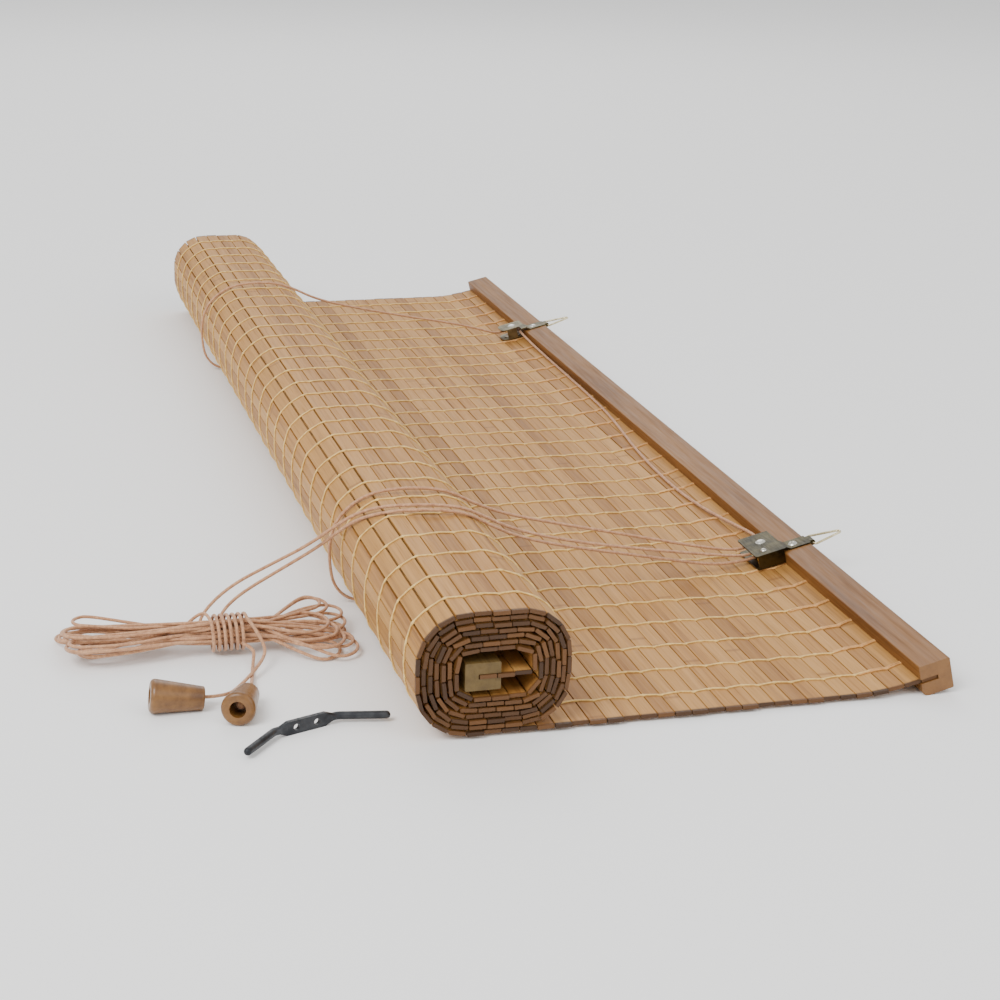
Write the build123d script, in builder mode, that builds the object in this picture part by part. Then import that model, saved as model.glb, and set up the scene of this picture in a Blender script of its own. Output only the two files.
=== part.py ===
from build123d import *
import math
import os

# A bamboo roll up blind, lying on the floor with most of its mat rolled up. Millimetres.
# +X runs from the roll to the head rail, +Y runs along the slats, +Z is up.
# The origin is the middle of the blind on the floor, without its cords.

# Head rail's length, and how far the slats stop short of each of its ends
rail_length = 1000.0
slat_inset = 1.0

# Slat mat
slat_length = rail_length - 2 * slat_inset
slat_pitch = 10.0
slat_gap = 0.5
slat_thickness = 2.2
slat_edge_radius = 0.4
slat_end_steps = (0.0, 0.7, -0.6, 0.35, -0.9)
mat_clearance = 2.2  # the mat lies on the lift cords, this far above the floor

# Roll: the mat is wound on the rounded outline of a rectangle, turn inside turn
roll_x = -79.0
roll_straight_half_width = 15.62
roll_straight_half_height = 6.97
roll_inner_radius = 4.96
roll_turns = 6.61
roll_turn_gap = 1.20393
roll_outer_radius = roll_inner_radius + roll_turns * (slat_thickness + roll_turn_gap)
roll_core_drift = (1.02, -0.48)  # from the outermost turn's middle to the innermost one's

# Bottom rail, at the middle of the roll
bottom_rail_width = 20.0
bottom_rail_height = 16.0
bottom_rail_offset = (-7.0, -2.4)
bottom_rail_slot_depth = 12.5
slats_past_bottom_rail = 2

# Head rail
rail_width = 19.5
rail_height = 19.6
rail_x = 178.0
rail_tilt = 14.0
rail_jaw_radius = 4.0
rail_edge_radius = 0.8
rail_slot_depth = 11.0
rail_slot_middle = 9.8
slot_clearance = 0.3
pulley_cord_hole_y = 290.0
lock_cord_hole_y = -290.0
cord_hole_height = 4.5
cord_hole_depth = 9.0

# Cords
cord_diameter = 2.0
cord_hole_clearance = 0.2
cord_seat_depth = 5.0  # how far a lift cord reaches into the head rail

# Stamped brackets on the head rail: a pulley bracket and a cord lock
sheet = 1.0
cheek_reach = 20.0  # how far the cheeks reach over the mat
cheek_over_rail = 1.5
cheek_low = 13.0  # underside of the bottom cheek, above the rail's back
cheek_high = 22.0  # underside of the top cheek
rail_gap = 0.4
strap_width = 12.5
strap_slope = 3.5
eye_width = 8.0
eye_gap = 0.3
pulley_bracket_y = 311.0
pulley_bracket_length = 18.5
pulley_bracket_corner = 5.0
pulley_wall_cut = 6.0
pulley_strap_y = 300.0
lock_y = -287.0
lock_wall_y = -307.5
lock_length = 33.5
lock_corner = 1.5
lock_strap_y = -299.5

# Pulleys, cam, pins and screws
axle_radius = 1.6
pin_radius = 1.3
running_clearance = 0.06
rivet_head_radius = 3.4
rivet_head_height = 1.3
rivet_foot_radius = 2.6
rivet_foot_height = 0.7
pulley_u = -8.5
pulley_rim_radius = 7.2
pulley_cord_radius = 6.0
pulley_play = 0.3
flange_thickness = 0.6
groove_flank = 0.1  # share of a groove's width that each flank takes
cam_u = -12.0
cam_y = -300.6
cam_radius = 4.9
cam_hub_radius = 3.2
cam_nose_radius = 2.4
cam_tooth_radius = 0.4
cam_teeth = 7
screw_u = 9.0
screw_head_radius = 3.1
screw_head_height = 1.5
screw_shank_radius = 1.4
screw_length = 8.5
screw_hole_clearance = 0.05
screw_slot_width = 0.9
screw_slot_depth = 0.7

# Hanging loops of bent wire
wire_radius = 0.8
wire_clearance = 0.1
loop_base = 15.0
loop_reach = 26.6  # to the point of the triangle, before its corner is rounded
loop_corner = 2.0

# Turned tassels with the cords' knots inside
tassel_length = 30.0
tassel_wide_radius = 10.0
tassel_narrow_radius = 6.5
tassel_wide_round = 2.6
tassel_narrow_round = 0.9
tassel_chamber_radius = 4.6
tassel_chamber_depth = 13.0
knot_radius = 2.9
knot_flat = 2.2
tassel_places = {"tassel_1": ((-225.5, -428.4), 177.0), "tassel_2": ((-200.8, -427.5), 250.0)}

# Cord cleat, a loose piece lying on its side
cleat_place = (-175.8, -468.0)
cleat_turn = 19.7
cleat_rod = 4.5
cleat_base = 23.5
cleat_arm = 27.0
cleat_bend = 30.0
cleat_flat_height = 8.0
cleat_flat_thickness = 2.5
cleat_taper = 5.0
cleat_hole_radius = 1.9
cleat_hole_spacing = 12.8
cleat_bend_radius = 6.0
cleat_bend_lead = 3.0

# Hank of spare pull cord, wrapped round its waist
hank_outline = (
    (-300.5, -352),
    (-300.5, -318),
    (-270.5, -303),
    (-219, -339),
    (-184, -338),
    (-130.5, -304),
    (-116.5, -330),
    (-119.5, -380),
    (-145.5, -388),
    (-187, -364),
    (-222, -362),
    (-275.5, -370),
)
hank_corner = 8.0
hank_height = 17.0
hank_round = 4.0
hank_waist_radius = 11.5
hank_waist_start = -215.5
hank_waist_length = 30.0
hank_waist_y = -350.5

# Routes of the cords, from one end to the other
tassel_lead = 11.0  # a tail runs straight into its tassel over this length
pull_cord_a = [
    (166.5, 290, 1.02),
    (140, 289, 1.02),
    (90, 286.5, 1.02),
    (35, 285, 1.02),
    (-22, 281, 1.02),
    (-70, 279, 1.02),
    (-97, 276.5, 1.02),
    (-114, 275.5, 1.8),
    (-124.5, 274.5, 12),
    (-127.6, 273.8, 28),
    (-127.4, 273.2, 46),
    (-121, 272.8, 62),
    (-106, 272.6, 74),
    (-88, 272.4, 77.8),
    (-67, 272.6, 77.6),
    (-50, 273.6, 73),
    (-26, 277, 60),
    (10, 283, 49.5),
    (60, 293.5, 37),
    (108, 304.5, 25.5),
    (134, 311.5, 17.5),
    (151.3, 317, 11.05),
    (171.2, 317, 16.01),
    (171, 285, 14.2),
    (172.3, 262, 12.2),
    (172.9, 215, 11.1),
    (173, 160, 10.7),
    (172.3, 105, 10.75),
    (171.2, 55, 10.5),
    (167.5, 8, 9.9),
    (162.5, -45, 8.7),
    (160.3, -98, 8.1),
    (160.2, -148, 8.1),
    (163.5, -190, 9.1),
    (168.2, -225, 11.2),
    (171.7, -258, 14.07),
    (171.63, -293, 14.36),
    (149.8, -293, 8.92),
    (128, -298, 9.8),
    (100, -304, 17),
    (60, -314, 28.5),
    (11, -327, 42.5),
    (-20, -335.5, 54),
    (-39, -340.5, 64.8),
    (-52, -343.5, 73.3),
    (-67, -345.5, 77.4),
    (-84, -342, 77.9),
    (-101, -334, 75),
    (-116, -321, 67),
    (-126, -309, 55),
    (-137, -304.5, 44.5),
    (-161, -310, 34),
    (-187, -320, 24.5),
    (-200, -328.5, 17.5),
    (-205, -339.5, 12),
]
pull_cord_b = [
    (166.5, -290, 1.02),
    (140, -290.7, 1.02),
    (92, -293, 1.02),
    (40, -294.5, 1.02),
    (-15, -294, 1.02),
    (-65, -291.8, 1.02),
    (-97, -290.5, 1.02),
    (-114, -290, 1.8),
    (-124.5, -290.5, 12),
    (-127.6, -291, 28),
    (-127.4, -292, 46),
    (-121.5, -294, 61),
    (-107, -297, 73.5),
    (-88, -300, 77.8),
    (-67, -302, 77.3),
    (-52, -301.5, 73.3),
    (-38, -299.5, 64.8),
    (-16, -295.5, 54.5),
    (23, -290, 43),
    (71.5, -287.5, 31),
    (122, -283, 17.5),
    (149, -281, 12.2),
    (170.81, -281, 17.66),
    (170.81, -293, 17.66),
    (149, -293, 12.2),
    (115, -302, 20),
    (60, -313.5, 32.5),
    (11.8, -324.5, 45.5),
    (-21, -332, 57.5),
    (-39, -336, 67.5),
    (-53, -338.5, 75.3),
    (-68, -339.5, 78.8),
    (-86, -337, 79.3),
    (-103, -328, 76.4),
    (-117, -316, 68.5),
    (-130, -308.5, 57),
    (-145, -307, 46.5),
    (-166, -308.5, 37.5),
    (-193, -314.5, 27.5),
    (-212, -327.5, 17),
    (-216.8, -340, 10),
]
tails = {
    "tail_1": [(-179.6, -371.6, 8), (-185.5, -384, 6.3), (-199.5, -404.5, 3)],
    "tail_2": [(-186.8, -365, 8), (-189.4, -375, 2.2), (-192.4, -389.3, 1.02)],
}
pulley_corners = {
    (171.2, 317, 16.01),
    (171.63, -293, 14.36),
    (170.81, -281, 17.66),
    (170.81, -293, 17.66),
}

os.makedirs("parts", exist_ok=True)


# The head rail's own frame: u across the rail, y along it, w up from its back.
tilt = math.radians(rail_tilt)
rail_z = rail_jaw_radius * (1 - math.cos(tilt) - math.sin(tilt))
rail_plane = Plane(
    origin=(rail_x, 0, rail_z),
    x_dir=(math.cos(tilt), 0, math.sin(tilt)),
    z_dir=(-math.sin(tilt), 0, math.cos(tilt)),
)


def rail_point(u, y, w):
    return rail_plane.from_local_coords((u, y, w))


def rail_section(y, u=0.0, w=0.0):
    """The upright plane across the rail at y, with its origin at (u, w)."""
    return Plane(origin=rail_point(u, y, w), x_dir=rail_plane.x_dir, z_dir=(0, -1, 0))


# ---- Path of the mat, in the XZ plane ----


def roll_path():
    """Inner face of the wound mat, from under the roll, clockwise and inwards."""
    corners = ((-1, -1), (-1, 1), (1, 1), (1, -1))
    points = []
    for half_degree in range(int(roll_turns * 720) + 1):
        angle = half_degree / 2
        share = angle / (roll_turns * 360)
        radius = roll_outer_radius + (roll_inner_radius - roll_outer_radius) * share
        side_x, side_z = corners[int(angle // 90) % 4]
        normal = math.radians(-90 - angle)
        x = side_x * roll_straight_half_width + radius * math.cos(normal) + roll_core_drift[0] * share
        z = side_z * roll_straight_half_height + radius * math.sin(normal) + roll_core_drift[1] * share
        points.append((x, z))
    return points


def step_along(points, pitch):
    """Points one pitch apart in a straight line, walked along a path."""
    joints = [points[0]]
    for before, after in zip(points, points[1:]):
        while math.dist(joints[-1], after) >= pitch:
            low, high = 0.0, 1.0
            for _ in range(30):
                middle = (low + high) / 2
                x = before[0] + (after[0] - before[0]) * middle
                z = before[1] + (after[1] - before[1]) * middle
                if math.dist(joints[-1], (x, z)) < pitch:
                    low = middle
                else:
                    high = middle
            joints.append((x, z))
    return joints


def fold_to_slot(joints):
    """The last slats fold back on themselves and run into the bottom rail's slot."""
    slot_end = bottom_rail_offset[0] + bottom_rail_width / 2 - bottom_rail_slot_depth + slot_clearance
    face = bottom_rail_offset[1] + slat_thickness / 2
    inside = [(slot_end + count * slat_pitch, face) for count in range(slats_past_bottom_rail + 2)]
    tip = inside[-1]
    start = joints[-1]
    span = math.dist(start, tip)
    rise = math.sqrt(max(slat_pitch**2 - (span / 2) ** 2, 0.0))
    along = ((tip[0] - start[0]) / span, (tip[1] - start[1]) / span)
    elbow = ((start[0] + tip[0]) / 2 - along[1] * rise, (start[1] + tip[1]) / 2 + along[0] * rise)
    return joints + [elbow] + inside[::-1]


def slat_outlines(joints):
    """Outline of each slat: it lies on the left of the walked line, away from the roll's middle."""
    outlines = []
    for start, end in zip(joints, joints[1:]):
        span = math.dist(start, end)
        along = ((end[0] - start[0]) / span, (end[1] - start[1]) / span)
        middle = ((start[0] + end[0]) / 2, (start[1] + end[1]) / 2)
        centre = (
            middle[0] - along[1] * slat_thickness / 2,
            middle[1] + along[0] * slat_thickness / 2,
        )
        angle = math.degrees(math.atan2(along[1], along[0]))
        outlines.append((centre, angle, span - slat_gap))
    return outlines


def flat_height(x, mouth, rise, run):
    """Height of the flat mat's upper face: on the floor, then up a curve into the rail's slot."""
    start = mouth - run
    if x < start:
        return 0.0
    if x < mouth:
        return rise * ((x - start) / run) ** 2
    return rise + (x - mouth) * math.tan(tilt)


roll_joints = fold_to_slot(step_along(roll_path(), slat_pitch))
roll_slats = slat_outlines(roll_joints)
roll_left = min(centre[0] for centre, angle, width in roll_slats) - slat_thickness / 2
roll_right = max(centre[0] for centre, angle, width in roll_slats) + slat_thickness / 2
roll_shift_x = roll_x - (roll_left + roll_right) / 2
roll_shift_z = mat_clearance + slat_thickness - roll_joints[0][1]

slot_mouth = rail_point(0, 0, rail_slot_middle + slat_thickness / 2)
slot_inside = rail_point(rail_slot_depth - slot_clearance, 0, rail_slot_middle)
mat_face = mat_clearance + slat_thickness
mat_rise = slot_mouth.Z - mat_face
mat_curve_run = 2 * mat_rise / math.tan(tilt)
flat_start = roll_joints[0][0] + roll_shift_x
flat_run = slot_inside.X - flat_start
flat_count = round(flat_run / slat_pitch)
flat_joints = []
for count in range(flat_count + 1):
    joint_x = slot_inside.X - flat_run * count / flat_count
    joint_z = mat_face + flat_height(joint_x, slot_mouth.X, mat_rise, mat_curve_run)
    flat_joints.append((joint_x, joint_z))
# Walked towards the roll, the slats' outer side is on the left, below the line.
flat_slats_places = slat_outlines(flat_joints)


def end_step(index):
    return (3 * index + index // 7) % len(slat_end_steps)


def slat_group(places, shift_x=0.0, shift_z=0.0):
    """Slats side by side, their ends stepping in and out by a little."""
    with BuildPart() as group:
        for step, offset in enumerate(slat_end_steps):
            chosen = [place for index, place in enumerate(places) if end_step(index) == step]
            with BuildSketch(Plane.XZ.offset(-offset)):
                for centre, angle, width in chosen:
                    place = Location((centre[0] + shift_x, centre[1] + shift_z, 0), (0, 0, angle))
                    with Locations(place):
                        RectangleRounded(width, slat_thickness, slat_edge_radius)
            extrude(amount=slat_length / 2, both=True)
    return group


rolled_slats = slat_group(roll_slats, roll_shift_x, roll_shift_z)
rolled_slats.part.label = "rolled_slats"
export_step(rolled_slats.part, "parts/rolled_slats.step")

flat_slats = slat_group(flat_slats_places)
flat_slats.part.label = "flat_slats"
export_step(flat_slats.part, "parts/flat_slats.step")

# ---- Rails ----

bottom_rail_place = (bottom_rail_offset[0] + roll_shift_x, bottom_rail_offset[1] + roll_shift_z)
with BuildPart() as bottom_rail:
    with BuildSketch(Plane.XZ):
        with Locations(bottom_rail_place):
            Rectangle(bottom_rail_width, bottom_rail_height)
            fillet(vertices(), rail_edge_radius)
        slot_x = bottom_rail_place[0] + (bottom_rail_width - bottom_rail_slot_depth) / 2
        with Locations((slot_x, bottom_rail_place[1])):
            Rectangle(bottom_rail_slot_depth, slat_thickness + 2 * slot_clearance, mode=Mode.SUBTRACT)
    extrude(amount=slat_length / 2, both=True)
bottom_rail.part.label = "bottom_rail"
export_step(bottom_rail.part, "parts/bottom_rail.step")

with BuildPart() as head_rail:
    with BuildSketch(rail_section(0)):
        with Locations((rail_width / 2, rail_height / 2)):
            Rectangle(rail_width, rail_height)
        jaw = vertices().sort_by(lambda corner: corner.X + corner.Y)[0]
        fillet(jaw, rail_jaw_radius)
        fillet(vertices().sort_by(lambda corner: corner.X + corner.Y)[2:], rail_edge_radius)
        with Locations((rail_slot_depth / 2, rail_slot_middle)):
            Rectangle(rail_slot_depth, slat_thickness + 2 * slot_clearance, mode=Mode.SUBTRACT)
    extrude(amount=rail_length / 2, both=True)
    with BuildSketch(rail_plane.offset(rail_height)):
        with Locations((screw_u, pulley_strap_y), (screw_u, lock_strap_y)):
            Circle(screw_shank_radius + screw_hole_clearance)
    extrude(amount=-screw_length, mode=Mode.SUBTRACT)
    for hole_y in (pulley_cord_hole_y, lock_cord_hole_y):
        mouth = rail_point(0, hole_y, cord_hole_height)
        with BuildSketch(Plane(origin=mouth, x_dir=(0, 1, 0), z_dir=rail_plane.x_dir)):
            Circle(cord_diameter / 2 + cord_hole_clearance)
        extrude(amount=cord_hole_depth, mode=Mode.SUBTRACT)
head_rail.part.label = "head_rail"
export_step(head_rail.part, "parts/head_rail.step")

# ---- Stamped brackets ----


def make_bracket(wall_y, length, corner, wall_cut, strap_y, pin_holes):
    """Two cheeks joined by a wall, and a strap that goes over the rail to an eye."""
    top = cheek_high + sheet
    with BuildPart() as bracket:
        for level, right in ((cheek_low, -rail_gap), (cheek_high, cheek_over_rail)):
            with BuildSketch(rail_plane.offset(level)):
                with Locations(((right - cheek_reach) / 2, wall_y + length / 2)):
                    Rectangle(right + cheek_reach, length)
                fillet(vertices().group_by(Axis.X)[0], corner)
            extrude(amount=sheet)
        with BuildSketch(rail_section(wall_y)):
            with Locations(((-cheek_reach + corner - wall_cut) / 2, (cheek_low + top) / 2)):
                Rectangle(cheek_reach - corner - wall_cut, top - cheek_low)
        extrude(amount=-sheet)
        with BuildSketch(rail_section(strap_y)):
            with BuildLine():
                Polyline(
                    (-strap_slope, cheek_high),
                    (cheek_over_rail, cheek_high),
                    (cheek_over_rail + strap_slope, rail_height),
                    (rail_width, rail_height),
                    (rail_width, rail_height + sheet),
                    (cheek_over_rail + strap_slope, rail_height + sheet),
                    (cheek_over_rail, top),
                    (-strap_slope, top),
                    close=True,
                )
            make_face()
        extrude(amount=strap_width / 2, both=True)
        with BuildSketch(rail_section(strap_y)):
            with Locations((eye_u, eye_w)):
                Circle(eye_radius)
            with Locations(((rail_width - strap_slope + eye_u) / 2, rail_height + sheet / 2)):
                Rectangle(eye_u - rail_width + strap_slope, sheet)
            with Locations((eye_u, eye_w)):
                Circle(wire_radius + wire_clearance, mode=Mode.SUBTRACT)
        extrude(amount=eye_width / 2, both=True)
        for pin_u, pin_y, radius in pin_holes:
            with BuildSketch(rail_plane.offset(cheek_low)):
                with Locations((pin_u, pin_y)):
                    Circle(radius)
            extrude(amount=top - cheek_low, mode=Mode.SUBTRACT)
        with BuildSketch(rail_plane.offset(rail_height)):
            with Locations((screw_u, strap_y)):
                Circle(screw_shank_radius + screw_hole_clearance)
        extrude(amount=sheet, mode=Mode.SUBTRACT)
    return bracket


def dome_middle(radius, height):
    """A point halfway along a dome's arc, from its rim to its top."""
    sphere = (radius**2 + height**2) / (2 * height)
    half_angle = math.asin(radius / sphere) / 2
    return (sphere * math.sin(half_angle), sphere * math.cos(half_angle) - sphere + height)


def make_rivet(u, y, radius, head_radius, foot_radius):
    """A pin through both cheeks, with a domed head on top and a flat foot below."""
    base = cheek_low - rivet_foot_height
    top = cheek_high + sheet - base
    axis_plane = rail_section(y, u, base)
    with BuildPart() as rivet:
        with BuildSketch(axis_plane):
            with BuildLine():
                Polyline(
                    (0, top + rivet_head_height),
                    (0, 0),
                    (foot_radius, 0),
                    (foot_radius, rivet_foot_height),
                    (radius, rivet_foot_height),
                    (radius, top),
                    (head_radius, top),
                )
                middle_x, middle_y = dome_middle(head_radius, rivet_head_height)
                ThreePointArc(
                    (head_radius, top),
                    (middle_x, top + middle_y),
                    (0, top + rivet_head_height),
                )
            make_face()
        revolve(axis=Axis(axis_plane.origin, rail_plane.z_dir))
    return rivet


def make_pulley(u, y, grooves):
    """A turned wheel with one or two cord grooves, loose on its axle between the cheeks."""
    low = cheek_low + sheet + pulley_play
    height = cheek_high - pulley_play - low
    groove = (height - flange_thickness * (grooves + 1)) / grooves
    floor = pulley_cord_radius - cord_diameter / 2 - pulley_play
    axis_plane = rail_section(y, u, low)
    with BuildPart() as pulley:
        with BuildSketch(axis_plane):
            bore = axle_radius + running_clearance
            with Locations(((bore + pulley_rim_radius) / 2, height / 2)):
                Rectangle(pulley_rim_radius - bore, height)
            for count in range(grooves):
                start = flange_thickness + count * (groove + flange_thickness)
                with BuildLine():
                    Polyline(
                        (pulley_rim_radius, start),
                        (floor, start + groove * groove_flank),
                        (floor, start + groove * (1 - groove_flank)),
                        (pulley_rim_radius, start + groove),
                        close=True,
                    )
                make_face(mode=Mode.SUBTRACT)
        revolve(axis=Axis(axis_plane.origin, rail_plane.z_dir))
    return pulley


def make_screw(strap_y):
    """A slotted dome-headed wood screw through the strap into the rail."""
    seat = rail_height + sheet
    axis_plane = rail_section(strap_y, screw_u, seat)
    with BuildPart() as screw:
        with BuildSketch(axis_plane):
            with BuildLine():
                Polyline(
                    (0, screw_head_height),
                    (0, -screw_length),
                    (screw_shank_radius, -screw_length + 2 * screw_shank_radius),
                    (screw_shank_radius, 0),
                    (screw_head_radius, 0),
                )
                ThreePointArc(
                    (screw_head_radius, 0),
                    dome_middle(screw_head_radius, screw_head_height),
                    (0, screw_head_height),
                )
            make_face()
        revolve(axis=Axis(axis_plane.origin, rail_plane.z_dir))
        with BuildSketch(rail_plane.offset(seat + screw_head_height)):
            with Locations((screw_u, strap_y)):
                Rectangle(2 * screw_head_radius, screw_slot_width, rotation=35)
        extrude(amount=-screw_slot_depth, mode=Mode.SUBTRACT)
    return screw


def make_hanger_loop(strap_y):
    """A triangle of bent wire whose base turns in the strap's eye."""
    eye_middle = rail_point(eye_u, strap_y, eye_w)
    loop_plane = Plane(origin=eye_middle, x_dir=rail_plane.x_dir, z_dir=rail_plane.z_dir)
    with BuildPart() as loop:
        with BuildLine(loop_plane) as bend:
            FilletPolyline(
                (0, 0),
                (0, loop_base / 2),
                (loop_reach, 0),
                (0, -loop_base / 2),
                (0, -eye_gap),
                radius=loop_corner,
            )
            Line((0, -eye_gap), (0, 0))
        with BuildSketch(Plane(origin=loop_plane.origin, z_dir=(0, 1, 0))):
            Circle(wire_radius)
        sweep(path=bend.wire())
    return loop


eye_radius = wire_radius + wire_clearance + sheet
eye_u = rail_width + eye_gap + eye_radius
eye_w = rail_height + sheet - eye_radius

pulley_bracket_wall = pulley_bracket_y - pulley_bracket_length / 2
pulley_bracket = make_bracket(
    pulley_bracket_wall,
    pulley_bracket_length,
    pulley_bracket_corner,
    pulley_wall_cut,
    pulley_strap_y,
    [(pulley_u, pulley_bracket_y, axle_radius)],
)
pulley_bracket.part.label = "pulley_bracket"
export_step(pulley_bracket.part, "parts/pulley_bracket.step")

cord_lock = make_bracket(
    lock_wall_y,
    lock_length,
    lock_corner,
    rail_gap,
    lock_strap_y,
    [(pulley_u, lock_y, axle_radius), (cam_u, cam_y, pin_radius)],
)
cord_lock.part.label = "cord_lock_housing"
export_step(cord_lock.part, "parts/cord_lock_housing.step")

guide_pulley = make_pulley(pulley_u, pulley_bracket_y, 1)
guide_pulley.part.label = "guide_pulley"
export_step(guide_pulley.part, "parts/guide_pulley.step")

guide_axle = make_rivet(pulley_u, pulley_bracket_y, axle_radius, rivet_head_radius, rivet_foot_radius)
guide_axle.part.label = "guide_pulley_axle"
export_step(guide_axle.part, "parts/guide_pulley_axle.step")

lock_pulley = make_pulley(pulley_u, lock_y, 2)
lock_pulley.part.label = "lock_pulley"
export_step(lock_pulley.part, "parts/lock_pulley.step")

lock_axle = make_rivet(pulley_u, lock_y, axle_radius, rivet_head_radius, rivet_foot_radius)
lock_axle.part.label = "lock_pulley_axle"
export_step(lock_axle.part, "parts/lock_pulley_axle.step")

cam_pin = make_rivet(cam_u, cam_y, pin_radius, pin_radius * 1.6, pin_radius * 1.6)
cam_pin.part.label = "lock_cam_pin"
export_step(cam_pin.part, "parts/lock_cam_pin.step")

with BuildPart() as lock_cam:
    cam_low = cheek_low + sheet + pulley_play
    with BuildSketch(rail_plane.offset(cam_low)):
        with Locations((cam_u, cam_y)):
            Circle(cam_hub_radius)
        with Locations((cam_u - cam_radius + cam_nose_radius, cam_y)):
            Circle(cam_nose_radius)
        make_hull()
        with Locations((cam_u, cam_y)):
            Circle(pin_radius + running_clearance, mode=Mode.SUBTRACT)
        with Locations((cam_u - cam_radius + cam_nose_radius, cam_y)):
            with PolarLocations(cam_nose_radius, cam_teeth, 110, 140, endpoint=True):
                Circle(cam_tooth_radius, mode=Mode.SUBTRACT)
    extrude(amount=cheek_high - pulley_play - cam_low)
lock_cam.part.label = "lock_cam"
export_step(lock_cam.part, "parts/lock_cam.step")

for name, strap_y in (("pulley_bracket", pulley_strap_y), ("cord_lock", lock_strap_y)):
    screw = make_screw(strap_y)
    screw.part.label = f"{name}_screw"
    export_step(screw.part, f"parts/{name}_screw.step")
    loop = make_hanger_loop(strap_y)
    loop.part.label = f"{name}_hanger_loop"
    export_step(loop.part, f"parts/{name}_hanger_loop.step")

# ---- Tassels and their knots ----

taper = math.asin((tassel_wide_radius - tassel_narrow_radius) / tassel_length)


def tassel_frame(place, heading):
    """Origin at the narrow end's middle, Z along the tassel to its wide end."""
    turn = math.radians(heading)
    along = (math.cos(turn) * math.cos(taper), math.sin(turn) * math.cos(taper), math.sin(taper))
    across = (-math.sin(turn), math.cos(turn), 0)
    return Plane(origin=(place[0], place[1], tassel_narrow_radius * math.cos(taper)), x_dir=across, z_dir=along)


def make_tassel(frame):
    floor = tassel_length - tassel_chamber_depth
    hole = cord_diameter / 2 + cord_hole_clearance
    with BuildPart() as tassel:
        with BuildSketch(Plane(origin=frame.origin, x_dir=frame.x_dir, z_dir=-frame.y_dir)):
            with BuildLine():
                Polyline(
                    (hole, 0),
                    (tassel_narrow_radius, 0),
                    (tassel_wide_radius, tassel_length),
                    (tassel_chamber_radius, tassel_length),
                    (tassel_chamber_radius, floor),
                    (hole, floor),
                    close=True,
                )
            make_face()
            narrow_corner, wide_corner = vertices().sort_by(Axis.X)[-2:]
            fillet(wide_corner, tassel_wide_round)
            fillet(vertices().sort_by_distance(narrow_corner)[0], tassel_narrow_round)
        revolve(axis=Axis(frame.origin, frame.z_dir))
    return tassel


def make_knot(frame):
    """A ball with a flat face, which bears on the floor of its tassel's chamber."""
    flat = tassel_length - tassel_chamber_depth
    flat_radius = math.sqrt(knot_radius**2 - knot_flat**2)
    with BuildPart() as knot:
        with BuildSketch(Plane(origin=frame.origin, x_dir=frame.x_dir, z_dir=-frame.y_dir)):
            with BuildLine():
                ThreePointArc(
                    (flat_radius, flat),
                    (knot_radius, flat + knot_flat),
                    (0, flat + knot_flat + knot_radius),
                )
                Polyline((0, flat + knot_flat + knot_radius), (0, flat), (flat_radius, flat))
            make_face()
        revolve(axis=Axis(frame.origin, frame.z_dir))
    return knot


for number, (name, (place, heading)) in enumerate(tassel_places.items(), start=1):
    frame = tassel_frame(place, heading)
    tassel = make_tassel(frame)
    tassel.part.label = name
    export_step(tassel.part, f"parts/{name}.step")
    knot = make_knot(frame)
    knot.part.label = f"knot_{number}"
    export_step(knot.part, f"parts/knot_{number}.step")

# ---- Cord cleat ----

cleat_frame = Plane(
    origin=(cleat_place[0], cleat_place[1], cleat_flat_height / 2),
    x_dir=(math.cos(math.radians(cleat_turn)), math.sin(math.radians(cleat_turn)), 0),
    z_dir=(0, 0, 1),
)
with BuildPart() as cord_cleat:
    with BuildSketch(cleat_frame.offset(-cleat_flat_height / 2)):
        Rectangle(cleat_base, cleat_flat_thickness)
    extrude(amount=cleat_flat_height)
    for side in (-1, 1):
        taper_start = Plane(
            origin=cleat_frame.from_local_coords((side * cleat_base / 2, 0, 0)),
            x_dir=cleat_frame.y_dir,
            z_dir=cleat_frame.x_dir * side,
        )
        with BuildSketch(taper_start):
            Rectangle(cleat_flat_thickness, cleat_flat_height)
        with BuildSketch(taper_start.offset(cleat_taper)):
            Circle(cleat_rod / 2)
        loft()
        rod_start = cleat_base / 2 + cleat_taper
        corner = rod_start + cleat_bend_lead
        tip_x = side * (corner + cleat_arm * math.cos(math.radians(cleat_bend)))
        tip_y = -cleat_arm * math.sin(math.radians(cleat_bend))
        with BuildLine(cleat_frame) as arm:
            arm_points = ((side * rod_start, 0), (side * corner, 0), (tip_x, tip_y))
            FilletPolyline(*arm_points, radius=cleat_bend_radius)
        with BuildSketch(taper_start.offset(cleat_taper)):
            Circle(cleat_rod / 2)
        sweep(path=arm.wire())
        with Locations(cleat_frame.from_local_coords((tip_x, tip_y, 0))):
            Sphere(cleat_rod / 2)
        hole = cleat_frame.from_local_coords((side * cleat_hole_spacing / 2, 0, 0))
        with BuildSketch(Plane(origin=hole, z_dir=cleat_frame.y_dir)):
            Circle(cleat_hole_radius)
        extrude(amount=cleat_flat_thickness, both=True, mode=Mode.SUBTRACT)
cord_cleat.part.label = "cord_cleat"
export_step(cord_cleat.part, "parts/cord_cleat.step")

# ---- Cords ----


def corner_radius(before, corner, after):
    """As large as the two runs allow, or a pulley's own radius."""
    if tuple(corner) in pulley_corners:
        return pulley_cord_radius - 0.1
    first = Vector(*corner) - Vector(*before)
    second = Vector(*after) - Vector(*corner)
    turn = math.radians(first.get_angle(second))
    return 0.45 * min(first.length, second.length) / math.tan(turn / 2)


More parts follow.
